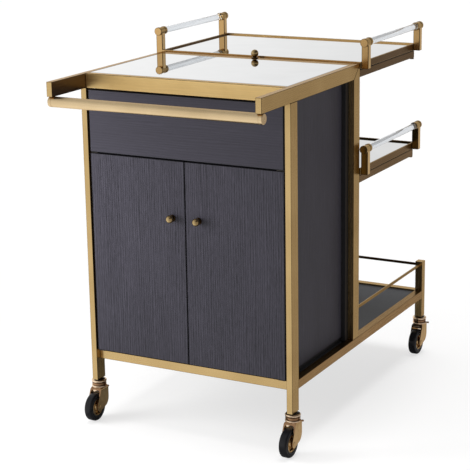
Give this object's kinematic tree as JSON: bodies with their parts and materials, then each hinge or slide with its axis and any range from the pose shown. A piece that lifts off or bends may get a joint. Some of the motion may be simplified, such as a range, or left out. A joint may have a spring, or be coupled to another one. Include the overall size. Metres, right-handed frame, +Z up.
{
  "type": "food service trolley",
  "caption": "Brass-finish serving trolley with a push bar, a lidded well over a cabinet with doors, lift-off mirror trays with clear handles and a low gallery shelf on swivel casters.",
  "frame": {"origin": "on the floor, at the centre of the trolley's outline", "axes": "+Z up, +Y from the push bar towards the trays at the rear, +X to the right of a person facing the doors"},
  "size_m": [0.599, 0.992, 0.938],
  "materials": {
    "brass": "brushed satin",
    "caster_bronze": "polished",
    "steel": "satin",
    "mirror": "polished",
    "charcoal_veneer": "satin stained veneer",
    "carcass_board": "matt",
    "acrylic": "polished clear",
    "caster_tyre": "semi-matt"
  },
  "bodies": {
    "trolley": {"front_leg_left": "brass", "side_rail_left": "brass", "mid_post_left": "brass", "base_rail_left": "brass", "rear_leg_left": "brass", "gallery_bar_left": "brass", "cabinet_side_left": "charcoal_veneer", "door_hinge_left": "steel", "front_leg_right": "brass", "side_rail_right": "brass", "mid_post_right": "brass", "base_rail_right": "brass", "rear_leg_right": "brass", "gallery_bar_right": "brass", "cabinet_side_right": "charcoal_veneer", "door_hinge_right": "steel", "base_rail_front": "brass", "base_rail_middle": "brass", "base_rail_rear": "brass", "front_cross_rail": "brass", "rear_cross_rail": "brass", "push_bar": "brass", "gallery_bar_rear": "brass", "cabinet_back": "charcoal_veneer", "apron": "charcoal_veneer", "shelf_board": "charcoal_veneer", "cabinet_floor": "carcass_board", "cabinet_shelf": "carcass_board", "well_floor": "carcass_board", "lid_hinge_rod": "steel", "top_tray_bearer": "brass", "middle_tray_bearer": "brass"},
    "door_left_leaf": {"door_left": "charcoal_veneer", "door_knob_left": "brass"},
    "door_right_leaf": {"door_right": "charcoal_veneer", "door_knob_right": "brass"},
    "lid": {"lid_mirror": "mirror", "lid_board": "carcass_board", "lid_strip": "brass", "lid_knob": "brass"},
    "top_tray": {"top_tray_frame": "brass", "top_tray_mirror": "mirror", "top_tray_rod_left": "acrylic", "top_tray_rod_right": "acrylic"},
    "middle_tray": {"middle_tray_frame": "brass", "middle_tray_mirror": "mirror", "middle_tray_rod_left": "acrylic", "middle_tray_rod_right": "acrylic"},
    "caster_front_left": {"caster_front_left_fork": "caster_bronze"},
    "wheel_front_left": {"caster_front_left_tyre": "caster_tyre", "caster_front_left_hub": "caster_bronze"},
    "caster_front_right": {"caster_front_right_fork": "caster_bronze"},
    "wheel_front_right": {"caster_front_right_tyre": "caster_tyre", "caster_front_right_hub": "caster_bronze"},
    "caster_rear_left": {"caster_rear_left_fork": "caster_bronze"},
    "wheel_rear_left": {"caster_rear_left_tyre": "caster_tyre", "caster_rear_left_hub": "caster_bronze"},
    "caster_rear_right": {"caster_rear_right_fork": "caster_bronze"},
    "wheel_rear_right": {"caster_rear_right_tyre": "caster_tyre", "caster_rear_right_hub": "caster_bronze"}
  },
  "joints": [
    {"name": "door_left_hinge", "type": "hinge", "parent": "trolley", "child": "door_left_leaf", "pos_m": [-0.255, -0.347, 0.435], "axis": [0, 0, -1], "range_deg": [0, 95]},
    {"name": "door_right_hinge", "type": "hinge", "parent": "trolley", "child": "door_right_leaf", "pos_m": [0.255, -0.347, 0.435], "axis": [0, 0, 1], "range_deg": [0, 95]},
    {"name": "lid_hinge", "type": "hinge", "parent": "trolley", "child": "lid", "pos_m": [0, -0.322, 0.8675], "axis": [1, 0, 0], "range_deg": [0, 80]},
    {"name": "top_tray_lift", "type": "slide", "parent": "trolley", "child": "top_tray", "axis": [0, 0, 1], "range_m": [0, 0.15]},
    {"name": "middle_tray_lift", "type": "slide", "parent": "trolley", "child": "middle_tray", "axis": [0, 0, 1], "range_m": [0, 0.12]},
    {"name": "caster_front_left_swivel", "type": "hinge", "parent": "trolley", "child": "caster_front_left", "pos_m": [-0.2705, -0.3375, 0.104], "axis": [0, 0, 1], "continuous": true},
    {"name": "wheel_front_left_spin", "type": "hinge", "parent": "caster_front_left", "child": "wheel_front_left", "pos_m": [-0.2705, -0.3615, 0.035], "axis": [1, 0, 0], "continuous": true},
    {"name": "caster_front_right_swivel", "type": "hinge", "parent": "trolley", "child": "caster_front_right", "pos_m": [0.2705, -0.3375, 0.104], "axis": [0, 0, 1], "continuous": true},
    {"name": "wheel_front_right_spin", "type": "hinge", "parent": "caster_front_right", "child": "wheel_front_right", "pos_m": [0.2705, -0.3615, 0.035], "axis": [1, 0, 0], "continuous": true},
    {"name": "caster_rear_left_swivel", "type": "hinge", "parent": "trolley", "child": "caster_rear_left", "pos_m": [-0.268, 0.477, 0.104], "axis": [0, 0, 1], "continuous": true},
    {"name": "wheel_rear_left_spin", "type": "hinge", "parent": "caster_rear_left", "child": "wheel_rear_left", "pos_m": [-0.268, 0.453, 0.035], "axis": [1, 0, 0], "continuous": true},
    {"name": "caster_rear_right_swivel", "type": "hinge", "parent": "trolley", "child": "caster_rear_right", "pos_m": [0.268, 0.477, 0.104], "axis": [0, 0, 1], "continuous": true},
    {"name": "wheel_rear_right_spin", "type": "hinge", "parent": "caster_rear_right", "child": "wheel_rear_right", "pos_m": [0.268, 0.453, 0.035], "axis": [1, 0, 0], "continuous": true}
  ]
}
